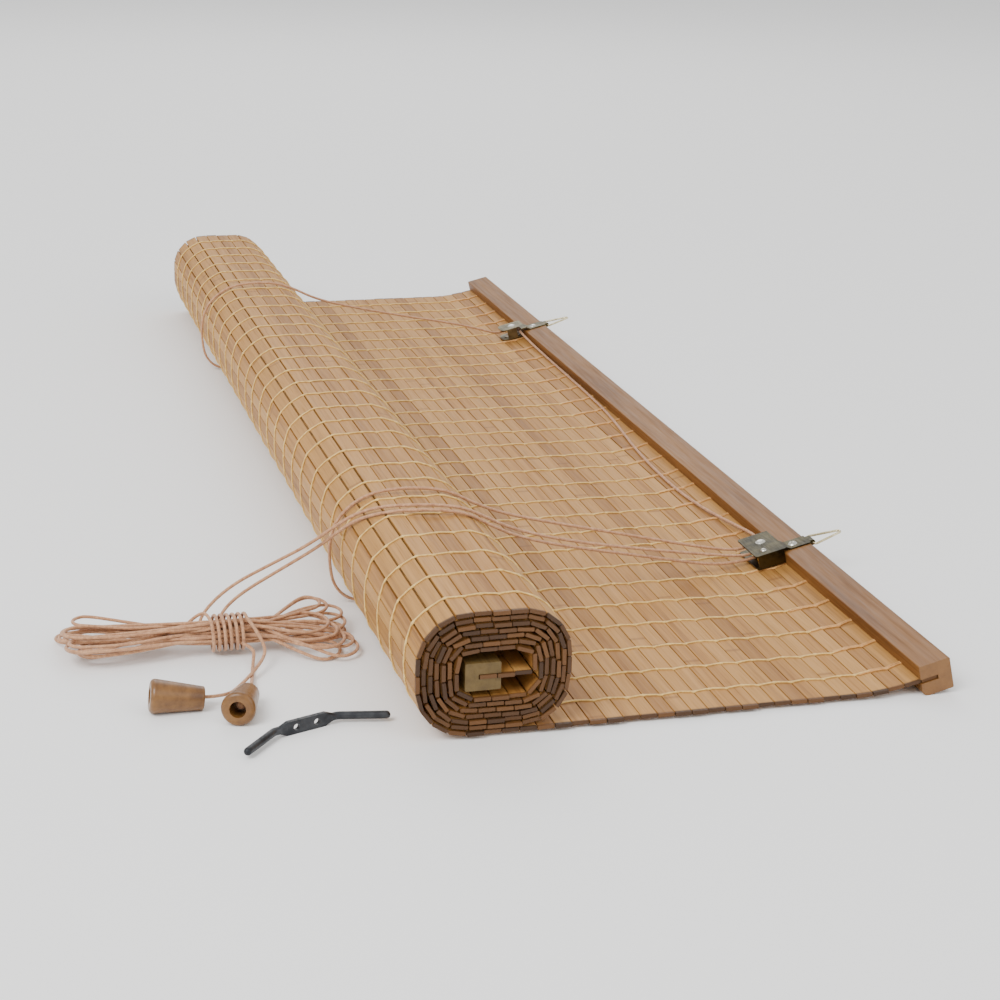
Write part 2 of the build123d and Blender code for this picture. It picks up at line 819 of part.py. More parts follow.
def export_cord(name, points):
    radii = [corner_radius(*points[index : index + 3]) for index in range(len(points) - 2)]
    start = Vector(*points[0])
    with BuildPart() as cord:
        with BuildLine() as route:
            FilletPolyline(*points, radius=radii)
        with BuildSketch(Plane(origin=start, z_dir=Vector(*points[1]) - start)):
            Circle(cord_diameter / 2)
        sweep(path=route.wire())
    length = route.wire().length
    expected = math.pi * (cord_diameter / 2) ** 2 * length
    print(name, f"length {length:.0f}, volume ratio {cord.part.volume / expected:.4f}")
    print("    radii", [round(radius, 1) for radius in radii])
    cord.part.label = name
    export_step(cord.part, f"parts/{name}.step")


def hole_end(hole_y):
    return tuple(rail_point(cord_seat_depth, hole_y, cord_hole_height))


export_cord("pull_cord_a", [hole_end(pulley_cord_hole_y)] + pull_cord_a)
export_cord("pull_cord_b", [hole_end(lock_cord_hole_y)] + pull_cord_b)
for (name, points), (place, heading) in zip(tails.items(), tassel_places.values()):
    frame = tassel_frame(place, heading)
    inside = (-tassel_lead, tassel_length - tassel_chamber_depth)
    export_cord(name, points + [tuple(frame.from_local_coords((0, 0, along))) for along in inside])

with BuildPart() as cord_hank:
    with BuildSketch():
        with BuildLine():
            FilletPolyline(*hank_outline, radius=hank_corner, close=True)
        make_face()
    extrude(amount=hank_height)
    fillet(faces().sort_by(Axis.Z)[-1].edges(), hank_round)
    with BuildSketch(Plane.YZ.offset(hank_waist_start)):
        with Locations((hank_waist_y, hank_waist_radius)):
            Circle(hank_waist_radius)
    extrude(amount=hank_waist_length)
cord_hank.part.label = "cord_hank"
export_step(cord_hank.part, "parts/cord_hank.step")
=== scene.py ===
import math
import random

import bmesh
import bpy
from mathutils import Matrix, Vector


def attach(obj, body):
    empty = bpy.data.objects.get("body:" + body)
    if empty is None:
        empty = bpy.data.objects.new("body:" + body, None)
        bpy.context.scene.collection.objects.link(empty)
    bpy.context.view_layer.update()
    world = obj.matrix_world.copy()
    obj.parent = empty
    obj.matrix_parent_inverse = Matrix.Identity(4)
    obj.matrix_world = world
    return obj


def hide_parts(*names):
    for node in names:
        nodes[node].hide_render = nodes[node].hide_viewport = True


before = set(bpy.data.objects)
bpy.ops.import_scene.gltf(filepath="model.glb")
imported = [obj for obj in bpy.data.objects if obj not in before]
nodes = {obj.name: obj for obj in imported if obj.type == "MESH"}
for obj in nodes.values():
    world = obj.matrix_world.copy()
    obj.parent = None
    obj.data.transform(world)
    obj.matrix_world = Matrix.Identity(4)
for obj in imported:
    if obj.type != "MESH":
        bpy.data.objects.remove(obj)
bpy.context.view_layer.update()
mm = 0.001
print("frame loaded:", len(nodes), "pieces")

# camera and the pull cords come first

cameraSettings = {
    "position": (-0.3638, -1.4748, 0.4820),
    "right": (0.96195, -0.27197, 0.02592),
    "up": (0.06406, 0.31678, 0.94633),
    "lens": 74.18,
    "sensor": 36.0,
}


def addCamera(settings):
    right = Vector(settings["right"]).normalized()
    up = Vector(settings["up"]).normalized()
    back = right.cross(up)
    turn = Matrix((right, up, back)).transposed().to_4x4()
    data = bpy.data.cameras.new("camera")
    data.lens = settings["lens"]
    data.sensor_width = settings["sensor"]
    data.clip_end = 20.0
    camera = bpy.data.objects.new("camera", data)
    camera.matrix_world = Matrix.Translation(settings["position"]) @ turn
    bpy.context.collection.objects.link(camera)
    bpy.context.scene.camera = camera


addCamera(cameraSettings)

cordSettings = {"diameter": 2.0, "sides": 3}

cordARoute = [
    (181.8, 290, 4.73), (166.5, 290, 1.02), (140, 289, 1.02), (90, 286.5, 1.02), (35, 285, 1.02),
    (-22, 281, 1.02), (-70, 279, 1.02), (-97, 276.5, 1.02), (-114, 275.5, 1.8), (-124.5, 274.5, 12),
    (-127.6, 273.8, 28), (-127.4, 273.2, 46), (-121, 272.8, 62), (-106, 272.6, 74), (-88, 272.4, 77.8),
    (-67, 272.6, 77.6), (-50, 273.6, 73), (-26, 277, 60), (10, 283, 49.5), (60, 293.5, 37),
    (108, 304.5, 25.5), (134, 311.5, 17.5), (151.3, 317, 11.05), (159.55, 317, 13.1), (171.2, 317, 16.01),
    (171.13, 305, 15.33), (171, 285, 14.2), (172.3, 262, 12.2), (172.9, 215, 11.1), (173, 160, 10.7),
    (172.3, 105, 10.75), (171.2, 55, 10.5), (167.5, 8, 9.9), (162.5, -45, 8.7), (160.3, -98, 8.1),
    (160.2, -148, 8.1), (163.5, -190, 9.1), (168.2, -225, 11.2), (171.7, -258, 14.07), (171.65, -281, 14.26),
    (171.63, -293, 14.36), (159.99, -293, 11.46), (149.8, -293, 8.92), (128, -298, 9.8), (100, -304, 17),
    (60, -314, 28.5), (11, -327, 42.5), (-20, -335.5, 54), (-39, -340.5, 64.8), (-52, -343.5, 73.3),
    (-67, -345.5, 77.4), (-84, -342, 77.9), (-101, -334, 75), (-116, -321, 67), (-126, -309, 55),
    (-137, -304.5, 44.5), (-161, -310, 34), (-187, -320, 24.5), (-200, -328.5, 17.5), (-205, -339.5, 12),
]
cordBRoute = [
    (181.8, -290, 4.73), (166.5, -290, 1.02), (140, -290.7, 1.02), (92, -293, 1.02), (40, -294.5, 1.02),
    (-15, -294, 1.02), (-65, -291.8, 1.02), (-97, -290.5, 1.02), (-114, -290, 1.8), (-124.5, -290.5, 12),
    (-127.6, -291, 28), (-127.4, -292, 46), (-121.5, -294, 61), (-107, -297, 73.5), (-88, -300, 77.8),
    (-67, -302, 77.3), (-52, -301.5, 73.3), (-38, -299.5, 64.8), (-16, -295.5, 54.5), (23, -290, 43),
    (71.5, -287.5, 31), (122, -283, 17.5), (149, -281, 12.2), (159.17, -281, 14.76), (170.81, -281, 17.66),
    (170.81, -293, 17.66), (159.17, -293, 14.76), (149, -293, 12.2), (115, -302, 20), (60, -313.5, 32.5),
    (11.8, -324.5, 45.5), (-21, -332, 57.5), (-39, -336, 67.5), (-53, -338.5, 75.3), (-68, -339.5, 78.8),
    (-86, -337, 79.3), (-103, -328, 76.4), (-117, -316, 68.5), (-130, -308.5, 57), (-145, -307, 46.5),
    (-166, -308.5, 37.5), (-193, -314.5, 27.5), (-212, -327.5, 17), (-216.8, -340, 10),
]
cordATail = [
    (-187.6, -361.6, 20.5), (-184, -366.8, 14.8), (-181.6, -373.6, 9.2), (-185.5, -384, 6.3),
    (-199.5, -404.5, 3), (-214.59, -428.97, 5.17), (-242.36, -427.52, 8.44),
]
cordBTail = [
    (-186.8, -365, 8), (-189.4, -375, 2.2), (-192.4, -389.3, 1.02), (-197.06, -417.23, 5.17),
    (-206.57, -443.37, 8.44),
]

hankSettings = {
    "waist": (-352.0, 13.0),
    "waistSpan": (-211.0, -190.0),
    "loops": 14,
    "bundleRadius": 8.6,
    "leftTip": (-295.5, -336.5, 31.0),  # x, middle y, spread to each side
    "rightTip": (-129.0, -346.0, 40.0),
    "lowest": 1.3,
    "layers": 13.0,
    "wraps": 6,
    "wrapRadius": 11.0,
    "wrapPoints": 14,
    "strandTurn": 2.4,  # radians from one strand of the waist to the next
    "tipScatter": 15,  # how far the tips end short of each other
    "tipRound": 5,
    "heightStep": 0.271,
    "foldWidths": {"left": (9.0, 12.5), "right": (9.0, 17.0)},
    "foldSteps": {"left": 0.382, "right": 0.618},
    "foldDegrees": (90, 45, 0, -45, -90),
    "waver": 2.4,
    "lift": (1.0, 2.6),  # from the strand going out to the one coming back
    "lead": [(-227.0, -347.5, 14.5), (-220.0, -343.8, 20.0), (-213.4, -346.2, 24.6)],
    "seed": 5,
}


def hankLoop(index, settings, dice):
    # one long loop: through the waist, round the right tip, back, and round the left tip
    midY, midZ = settings["waist"]
    leftX, rightX = settings["waistSpan"]

    def bundle(strand):
        reach = settings["bundleRadius"] * math.sqrt((strand + 0.5) / (2 * settings["loops"]))
        return (
            midY + reach * math.cos(strand * settings["strandTurn"]),
            midZ + reach * math.sin(strand * settings["strandTurn"]),
        )

    points = []
    ends = (
        (settings["rightTip"], 1, rightX, "right"),
        (settings["leftTip"], -1, leftX, "left"),
    )
    for number, ((tipX, tipY, spread), way, near, side) in enumerate(ends):
        out = bundle(2 * index + number)
        back = bundle((2 * index + number + 1) % (2 * settings["loops"]))
        fan = 2 * ((index * settings["foldSteps"][side] + 0.13) % 1) - 1
        half = dice.uniform(*settings["foldWidths"][side])
        x = tipX - way * dice.uniform(0, settings["tipScatter"]) + way * (settings["tipRound"] - half)
        y = tipY + fan * (spread - half)
        low = settings["lowest"] + settings["layers"] * ((index * settings["heightStep"] + number * 0.37) % 1)
        lift = dice.uniform(*settings["lift"])
        points.append((near, out[0], out[1]))
        for share, wide in ((0.34, 0.25), (0.7, 0.85)):
            middle = (1 - share) * out[0] + share * y
            height = (1 - share) * out[1] + share * low
            points.append(
                (
                    near + (x - near) * share,
                    middle - half * wide * way + dice.uniform(-settings["waver"], settings["waver"]),
                    height,
                )
            )
        for degrees in settings["foldDegrees"]:
            reach = math.cos(math.radians(degrees))
            wide = math.sin(math.radians(degrees))
            points.append((x + way * half * reach, y - half * wide * way, low + lift * (0.5 - wide / 2)))
        for share, wide in ((0.66, 0.85), (0.3, 0.2)):
            middle = (1 - share) * back[0] + share * y
            height = (1 - share) * back[1] + share * (low + lift)
            points.append(
                (
                    near + (x - near) * share,
                    middle + half * wide * way + dice.uniform(-settings["waver"], settings["waver"]),
                    height,
                )
            )
        points.append((near, back[0], back[1]))
    return points


def hankWraps(settings):
    # the turns that tie the hank round its waist
    midY, midZ = settings["waist"]
    leftX, rightX = settings["waistSpan"]
    total = settings["wraps"] * settings["wrapPoints"]
    points = []
    for step in range(total + 1):
        angle = math.pi * 0.64 + 2 * math.pi * step / settings["wrapPoints"]
        x = leftX + (rightX - leftX) * step / total
        radius = settings["wrapRadius"] + 0.5 * math.sin(step * 0.9)
        points.append((x, midY + radius * math.cos(angle), midZ + radius * math.sin(angle)))
    return points


def addCurve(name, splines, radius, sides=3, order=3, radii=None):
    data = bpy.data.curves.new(name, "CURVE")
    data.dimensions = "3D"
    data.bevel_depth = 1.0  # so each point's radius is the real one, in metres
    data.bevel_resolution = sides
    data.resolution_u = 6
    data.use_fill_caps = True
    for number, points in enumerate(splines):
        spline = data.splines.new("NURBS" if order > 2 else "POLY")
        spline.points.add(len(points) - 1)
        for index, point in enumerate(points):
            spline.points[index].co = (point[0] * mm, point[1] * mm, point[2] * mm, 1)
            spline.points[index].radius = radius * (radii[number][index] if radii else 1)
        if order > 2:
            spline.order_u = order
            spline.use_endpoint_u = True
        spline.use_smooth = True
    piece = bpy.data.objects.new(name, data)
    bpy.context.collection.objects.link(piece)
    return piece


def splineLength(piece):
    bare = piece.data.copy()
    bare.bevel_depth = 0
    helper = bpy.data.objects.new("helper", bare)
    line = bpy.data.meshes.new_from_object(helper)
    places = [vertex.co for vertex in line.vertices]
    bpy.data.objects.remove(helper)
    return sum((after - before).length for before, after in zip(places, places[1:]))


def addCord(name, route, first, tail, wraps, stands):
    dice = random.Random(hankSettings["seed"] + first)
    points = list(route)
    for index in range(first, hankSettings["loops"], 2):
        points += hankLoop(index, hankSettings, dice)
    if wraps:
        points[-1:] = hankSettings["lead"] + hankWraps(hankSettings)
    points += tail
    piece = addCurve(name, [points], cordSettings["diameter"] / 2 * mm, cordSettings["sides"])
    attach(piece, "blind")
    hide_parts(*stands)
    length = splineLength(piece)
    print(name, "length", round(length, 2))
    return piece


cordA = addCord(
    "pullCordA", cordARoute, 0, cordATail, True,
    ("pull_cord_a", "tail_1", "cord_hank"),
)
cordB = addCord(
    "pullCordB", cordBRoute, 1, cordBTail, False,
    ("pull_cord_b", "tail_2"),
)

# slats of the mat, one strip each, where the frame's slats lie

slatSettings = {
    "pitch": 10.0,
    "edgeRadius": 0.35,
    "lengthwise": 10,
    "bow": 0.1,  # how far a strip wanders from flat
    "seed": 11,
}


def slatPlaces(node):
    # middle, direction, size and ends of each strip, in mm, read from the frame's own solids
    rough = bmesh.new()
    rough.from_mesh(node.data)
    bmesh.ops.remove_doubles(rough, verts=rough.verts, dist=1e-6)
    places = []
    seen = set()
    for start in rough.verts:
        if start in seen:
            continue
        island = [start]
        seen.add(start)
        for vert in island:
            for edge in vert.link_edges:
                other = edge.other_vert(vert)
                if other not in seen:
                    seen.add(other)
                    island.append(other)
        corners = [vert.co / mm for vert in island]
        middle = sum(corners, Vector()) / len(corners)
        spread = [(corner.x - middle.x, corner.z - middle.z) for corner in corners]
        twist = 0.5 * math.atan2(
            2 * sum(x * z for x, z in spread), sum(x * x for x, z in spread) - sum(z * z for x, z in spread)
        )
        along = Vector((math.cos(twist), 0, math.sin(twist)))
        reach = [corner.dot(along) for corner in corners]
        low = min(corner.y for corner in corners)
        high = max(corner.y for corner in corners)
        middle = Vector(((min(reach) + max(reach)) / 2, 0, 0))
        across = Vector((-along.z, 0, along.x))
        depth = [corner.dot(across) for corner in corners]
        centre = along * middle.x + across * (min(depth) + max(depth)) / 2
        places.append(
            {
                "centre": Vector((centre.x, (low + high) / 2, centre.z)),
                "along": along,
                "width": max(reach) - min(reach),
                "thick": max(depth) - min(depth),
                "length": high - low,
            }
        )
    rough.free()
    return places


def chainPlaces(places, start, heading):
    # puts the strips in the order in which the mat runs
    waiting = list(places)
    chain = []
    place = start
    way = heading
    while waiting:
        wanted = place + way * slatSettings["pitch"]
        best = min(
            waiting,
            key=lambda item: (item["centre"].x - wanted.x) ** 2 + (item["centre"].z - wanted.z) ** 2,
        )
        waiting.remove(best)
        centre = Vector((best["centre"].x, 0, best["centre"].z))
        if chain:
            way = (centre - place).normalized()
        best["way"] = best["along"] if best["along"].dot(way) > 0 else -best["along"]
        way = best["way"]
        place = centre
        chain.append(best)
    return chain


def addSlats(name, places, settings, node):
    dice = random.Random(settings["seed"] + len(places))
    whole = bmesh.new()
    tone = whole.verts.layers.float.new("tone")
    for place in places:
        strip = bmesh.new()
        bmesh.ops.create_cube(strip, size=1.0)
        bmesh.ops.scale(
            strip,
            vec=(place["width"] * mm, place["length"] * mm, place["thick"] * mm),
            verts=strip.verts,
        )
        longEdges = [edge for edge in strip.edges if abs(edge.verts[0].co.y - edge.verts[1].co.y) > 0.1]
        bmesh.ops.bevel(
            strip, geom=longEdges, offset=settings["edgeRadius"] * mm, affect="EDGES",
            segments=2, profile=0.5, material=-1,
        )
        longEdges = [edge for edge in strip.edges if abs(edge.verts[0].co.y - edge.verts[1].co.y) > 0.1]
        bmesh.ops.subdivide_edges(strip, edges=longEdges, cuts=settings["lengthwise"], use_grid_fill=True)
        phase = dice.uniform(0, 6.28)
        rate = dice.uniform(5, 11)
        for vert in strip.verts:
            if abs(vert.co.y) < place["length"] * mm * 0.49:
                vert.co.z += settings["bow"] * mm * math.sin(vert.co.y * rate + phase)
                vert.co.x += settings["bow"] * mm * math.sin(vert.co.y * rate * 0.7 + phase * 2)
        turn = Matrix(
            (
                (place["along"].x, 0, -place["along"].z),
                (0, 1, 0),
                (place["along"].z, 0, place["along"].x),
            )
        ).to_4x4()
        bmesh.ops.transform(strip, matrix=Matrix.Translation(place["centre"] * mm) @ turn, verts=strip.verts)
        bmesh.ops.recalc_face_normals(strip, faces=strip.faces)
        mark = strip.verts.layers.float.new("tone")
        shade = dice.random()
        for vert in strip.verts:
            vert[mark] = shade
        helper = bpy.data.meshes.new("strip")
        strip.to_mesh(helper)
        strip.free()
        whole.from_mesh(helper)
        bpy.data.meshes.remove(helper)
    data = bpy.data.meshes.new(name)
    whole.to_mesh(data)
    whole.free()
    piece = bpy.data.objects.new(name, data)
    bpy.context.collection.objects.link(piece)
    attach(piece, "blind")
    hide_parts(node)
    return piece


flatPlaces = chainPlaces(slatPlaces(nodes["flat_slats"]), Vector((196, 0, 12)), Vector((-1, 0, 0)))
rollPlaces = chainPlaces(
    slatPlaces(nodes["rolled_slats"]), Vector(
        (flatPlaces[-1]["centre"].x, 0, flatPlaces[-1]["centre"].z)
    ), Vector((-1, 0, 0))
)
flatMat = addSlats("flatMat", flatPlaces, slatSettings, "flat_slats")
rolledMat = addSlats("rolledMat", rollPlaces, slatSettings, "rolled_slats")
print("slats:", len(flatPlaces), "flat,", len(rollPlaces), "rolled")

# warp threads: one over and one under the slats in each row, knotted together at every gap

threadSettings = {
    "rows": 29,
    "firstRow": -475.0,
    "spacing": 33.8,
    "radius": 0.55,
    "knot": 1.7,
    "proud": 0.35,
    "wander": 1.8,
    "turnSlats": 29,
    "headSlats": 3,
    "seed": 23,
}


def threadLine(places, side, y, dice, settings):
    points = []
    radii = []
    drift = dice.uniform(-0.6, 0.6)
    for number, place in enumerate(places):
        way = place["way"]
        outward = Vector((way.z, 0, -way.x)) * side
        top = place["thick"] / 2 + settings["proud"]
        drift = max(-1.6, min(1.6, drift + dice.uniform(-0.45, 0.45)))
        slant = settings["wander"] * (1 if number % 2 else -1) * 0.5
        middle = Vector((place["centre"].x, 0, place["centre"].z))
        for share, lift, thick in ((-0.5, -0.3, settings["knot"]), (-0.33, 0.1, 1.0), (0.33, 0.1, 1.0)):
            point = middle + way * place["width"] * share + outward * (top + lift)
            points.append((point.x, y + drift + slant * share * 2, point.z))
            radii.append(thick * dice.uniform(0.88, 1.1))
    return points, radii


def addThreads(name, places, side, settings, offset=0.0, seed=0):
    dice = random.Random(settings["seed"] + seed)
    lines = []
    thick = []
    for row in range(settings["rows"]):
        y = settings["firstRow"] + settings["spacing"] * row + offset
        points, radii = threadLine(places, side, y, dice, settings)
        lines.append(points)
        thick.append(radii)
    piece = addCurve(name, lines, settings["radius"] * mm, 1, 2, thick)
    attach(piece, "blind")
    return piece


openPlaces = [place for place in flatPlaces if place["centre"].x < 173]
headPlaces = openPlaces[: threadSettings["headSlats"]]
upperThreads = addThreads("upperThreads", openPlaces[threadSettings["headSlats"] - 1 :], 1, threadSettings)
lowerThreads = addThreads(
    "lowerThreads",
    openPlaces + rollPlaces[: threadSettings["turnSlats"]],
    -1,
    threadSettings,
    0.0,
    1,
)
headThreads = [
    addThreads(
        "headThreads" + word,
        headPlaces,
        1,
        threadSettings,
        offset,
        2,
    ) for word, offset in (("A", -0.6), ("B", 0.9))
]
print("threads done")

# shared pattern groups


def startGroup(name, inputs, outputs):
    group = bpy.data.node_groups.new(name, "ShaderNodeTree")
    for socket, kind, value in inputs:
        made = group.interface.new_socket(name=socket, in_out="INPUT", socket_type=kind)
        if value is not None:
            made.default_value = value
    for socket, kind in outputs:
        group.interface.new_socket(name=socket, in_out="OUTPUT", socket_type=kind)
    return group, group.nodes.new("NodeGroupInput"), group.nodes.new("NodeGroupOutput")


def addNode(tree, kind, links=(), **values):
    node = tree.nodes.new("ShaderNode" + kind)
    for key, value in values.items():
        setattr(node, key, value)
    for socket, source in links:
        if hasattr(source, "is_output"):
            tree.links.new(source, node.inputs[socket])
        else:
            node.inputs[socket].default_value = source
    return node


def makeGrain():
    # long streaks that run along Y, with short pores in them
    group, given, made = startGroup(
        "woodGrain",
        (
            ("Vector", "NodeSocketVector", None),
            ("Across", "NodeSocketFloat", 260.0),
            ("Along", "NodeSocketFloat", 6.0),
            ("Shift", "NodeSocketFloat", 0.0),
        ),
        (("Streak", "NodeSocketFloat"), ("Pore", "NodeSocketFloat"), ("Cloud", "NodeSocketFloat")),
    )
    scale = addNode(
        group,
        "CombineXYZ",
        (("X", given.outputs["Across"]), ("Y", given.outputs["Along"]), ("Z", given.outputs["Across"])),
    )
    stretched = addNode(
        group,
        "VectorMath",
        ((0, given.outputs["Vector"]), (1, scale.outputs[0])),
        operation="MULTIPLY",
    )
    shift = addNode(
        group,
        "CombineXYZ",
        (("X", given.outputs["Shift"]), ("Y", given.outputs["Shift"]), ("Z", 0.0)),
    )
    moved = addNode(group, "VectorMath", ((0, stretched.outputs[0]), (1, shift.outputs[0])), operation="ADD")
    streak = addNode(
        group,
        "TexNoise",
        (("Vector", moved.outputs[0]), ("Scale", 1.0), ("Detail", 5.0), ("Roughness", 0.62)),
    )
    pore = addNode(
        group,
        "TexNoise",
        (("Vector", moved.outputs[0]), ("Scale", 4.5), ("Detail", 3.0), ("Roughness", 0.7)),
    )
    cloud = addNode(group, "TexNoise", (("Vector", given.outputs["Vector"]), ("Scale", 9.0), ("Detail", 2.0)))
    group.links.new(streak.outputs["Fac"], made.inputs["Streak"])
    group.links.new(pore.outputs["Fac"], made.inputs["Pore"])
    group.links.new(cloud.outputs["Fac"], made.inputs["Cloud"])
    return group


def makeBraid():
    # small crossing bumps of a braid or a twisted thread
    group, given, made = startGroup(
        "braid",
        (("Vector", "NodeSocketVector", None), ("Scale", "NodeSocketFloat", 1200.0)),
        (("Height", "NodeSocketFloat"), ("Fibre", "NodeSocketFloat")),
    )
    cells = addNode(
        group,
        "TexVoronoi",
        (("Vector", given.outputs["Vector"]), ("Scale", given.outputs["Scale"]), ("Randomness", 0.55)),
    )
    fibre = addNode(
        group,
        "TexNoise",
        (("Vector", given.outputs["Vector"]), ("Scale", 420.0), ("Detail", 4.0), ("Roughness", 0.7)),
    )
    lifted = addNode(group, "Math", ((0, 1.0), (1, cells.outputs["Distance"])), operation="SUBTRACT")
    group.links.new(lifted.outputs[0], made.inputs["Height"])
    group.links.new(fibre.outputs["Fac"], made.inputs["Fibre"])
    return group


def makeWear():
    # smudges and fine scratches on metal
    group, given, made = startGroup(
        "metalWear",
        (
            ("Vector", "NodeSocketVector", None),
            ("Smudge", "NodeSocketFloat", 120.0),
            ("Scratch", "NodeSocketFloat", 900.0),
        ),
        (("Smudge", "NodeSocketFloat"), ("Scratch", "NodeSocketFloat")),
    )
    smudge = addNode(
        group,
        "TexNoise",
        (
            ("Vector", given.outputs["Vector"]),
            ("Scale", given.outputs["Smudge"]),
            ("Detail", 5.0),
            ("Roughness", 0.6),
        ),
    )
    stretch = addNode(
        group,
        "VectorMath",
        ((0, given.outputs["Vector"]), (1, (1.0, 0.12, 1.0))),
        operation="MULTIPLY",
    )
    scratch = addNode(
        group,
        "TexNoise",
        (
            ("Vector", stretch.outputs[0]),
            ("Scale", given.outputs["Scratch"]),
            ("Detail", 3.0),
            ("Roughness", 0.7),
        ),
    )
    group.links.new(smudge.outputs["Fac"], made.inputs["Smudge"])
    group.links.new(scratch.outputs["Fac"], made.inputs["Scratch"])
    return group


grainGroup = makeGrain()
braidGroup = makeBraid()
wearGroup = makeWear()


def startMaterial(name, roughness, metallic=0.0, **sockets):
    material = bpy.data.materials.new(name)
    material.use_nodes = True
    tree = material.node_tree
    shader = tree.nodes["Principled BSDF"]
    shader.inputs["Roughness"].default_value = roughness
    shader.inputs["Metallic"].default_value = metallic
    for key, value in sockets.items():
        shader.inputs[key.replace("_", " ")].default_value = value
    where = addNode(tree, "TexCoord")
    return material, tree, shader, where.outputs["Object"]


def placeGroup(tree, group, links):
    node = tree.nodes.new("ShaderNodeGroup")
    node.node_tree = group
    for socket, source in links:
        if hasattr(source, "is_output"):
            tree.links.new(source, node.inputs[socket])
        else:
            node.inputs[socket].default_value = source
    return node


def addRamp(tree, source, stops):
    node = tree.nodes.new("ShaderNodeValToRGB")
    ramp = node.color_ramp
    while len(ramp.elements) < len(stops):
        ramp.elements.new(0.5)
    for element, (place, colour) in zip(ramp.elements, stops):
        element.position = place
        element.color = (*colour, 1)
    tree.links.new(source, node.inputs["Fac"])
    return node.outputs["Color"]


def mixColour(tree, share, first, second, blend="MIX"):
    node = tree.nodes.new("ShaderNodeMix")
    node.data_type = "RGBA"
    node.blend_type = blend
    for socket, source in ((0, share), (6, first), (7, second)):
        if hasattr(source, "is_output"):
            tree.links.new(source, node.inputs[socket])
        else:
            node.inputs[socket].default_value = source if socket == 0 else (*source, 1)
    return node.outputs[2]


def rangeOf(tree, source, low, high, toLow=0.0, toHigh=1.0):
    node = addNode(
        tree,
        "MapRange",
        (("Value", source), ("From Min", low), ("From Max", high), ("To Min", toLow), ("To Max", toHigh)),
    )
    return node.outputs["Result"]


def addBump(tree, shader, height, strength, distance):
    bump = addNode(tree, "Bump", (("Height", height), ("Strength", strength), ("Distance", distance)))
    tree.links.new(bump.outputs["Normal"], shader.inputs["Normal"])


bambooSettings = {
    "stops": ((0.28, (0.215, 0.088, 0.017)), (0.46, (0.37, 0.172, 0.039)), (0.7, (0.47, 0.235, 0.062))),
    "light": (0.56, 0.31, 0.095),
    "dark": (0.15, 0.056, 0.011),
    "cutEnds": ((0.12, 0.049, 0.012), (0.045, 0.019, 0.006)),
    "roughness": 0.55,
}


def bambooMaterial(settings):
    material, tree, shader, where = startMaterial("bamboo", settings["roughness"], Specular_IOR_Level=0.35)
    tone = addNode(tree, "Attribute", attribute_name="tone").outputs["Fac"]
    shift = addNode(tree, "Math", ((0, tone), (1, 37.0)), operation="MULTIPLY").outputs[0]
    grain = placeGroup(
        tree,
        grainGroup,
        (("Vector", where), ("Across", 330.0), ("Along", 7.0), ("Shift", shift)),
    )
    base = addRamp(tree, grain.outputs["Streak"], settings["stops"])
    paler = mixColour(tree, rangeOf(tree, tone, 0.45, 1.0, 0.0, 0.55), base, settings["light"])
    darker = mixColour(tree, rangeOf(tree, tone, 0.35, 0.0, 0.0, 0.42), paler, settings["dark"])
    parts = addNode(tree, "SeparateXYZ", (("Vector", where),))
    ringAt = addNode(
        tree,
        "Math",
        ((0, parts.outputs["Y"]), (1, 3.4), (2, shift)),
        operation="MULTIPLY_ADD",
    ).outputs[0]
    ring = addNode(tree, "Math", ((0, ringAt),), operation="FRACT").outputs[0]
    ringOff = addNode(tree, "Math", ((0, ring), (1, 0.5)), operation="SUBTRACT").outputs[0]
    ringNear = addNode(tree, "Math", ((0, ringOff),), operation="ABSOLUTE").outputs[0]
    ringMask = rangeOf(tree, ringNear, 0.008, 0.0, 0.0, 0.55)
    ringed = mixColour(tree, ringMask, darker, settings["dark"])
    pored = mixColour(
        tree,
        rangeOf(tree, grain.outputs["Pore"], 0.56, 0.72, 0.0, 0.4),
        ringed,
        settings["dark"],
    )
    reach = addNode(tree, "Math", ((0, parts.outputs["Y"]),), operation="ABSOLUTE").outputs[0]
    endMask = rangeOf(tree, reach, 0.4966, 0.4981, 0.0, 1.0)
    cutEnd = mixColour(tree, rangeOf(tree, tone, 0.1, 0.9), *settings["cutEnds"])
    ended = mixColour(tree, endMask, pored, cutEnd)
    tree.links.new(ended, shader.inputs["Base Color"])
    raised = addNode(
        tree,
        "Math",
        ((0, ringMask), (1, 0.8), (2, grain.outputs["Streak"])),
        operation="MULTIPLY_ADD",
    ).outputs[0]
    addBump(tree, shader, raised, 0.35, 0.0004)
    tree.links.new(rangeOf(tree, grain.outputs["Pore"], 0.3, 0.7, 0.45, 0.68), shader.inputs["Roughness"])
    return material


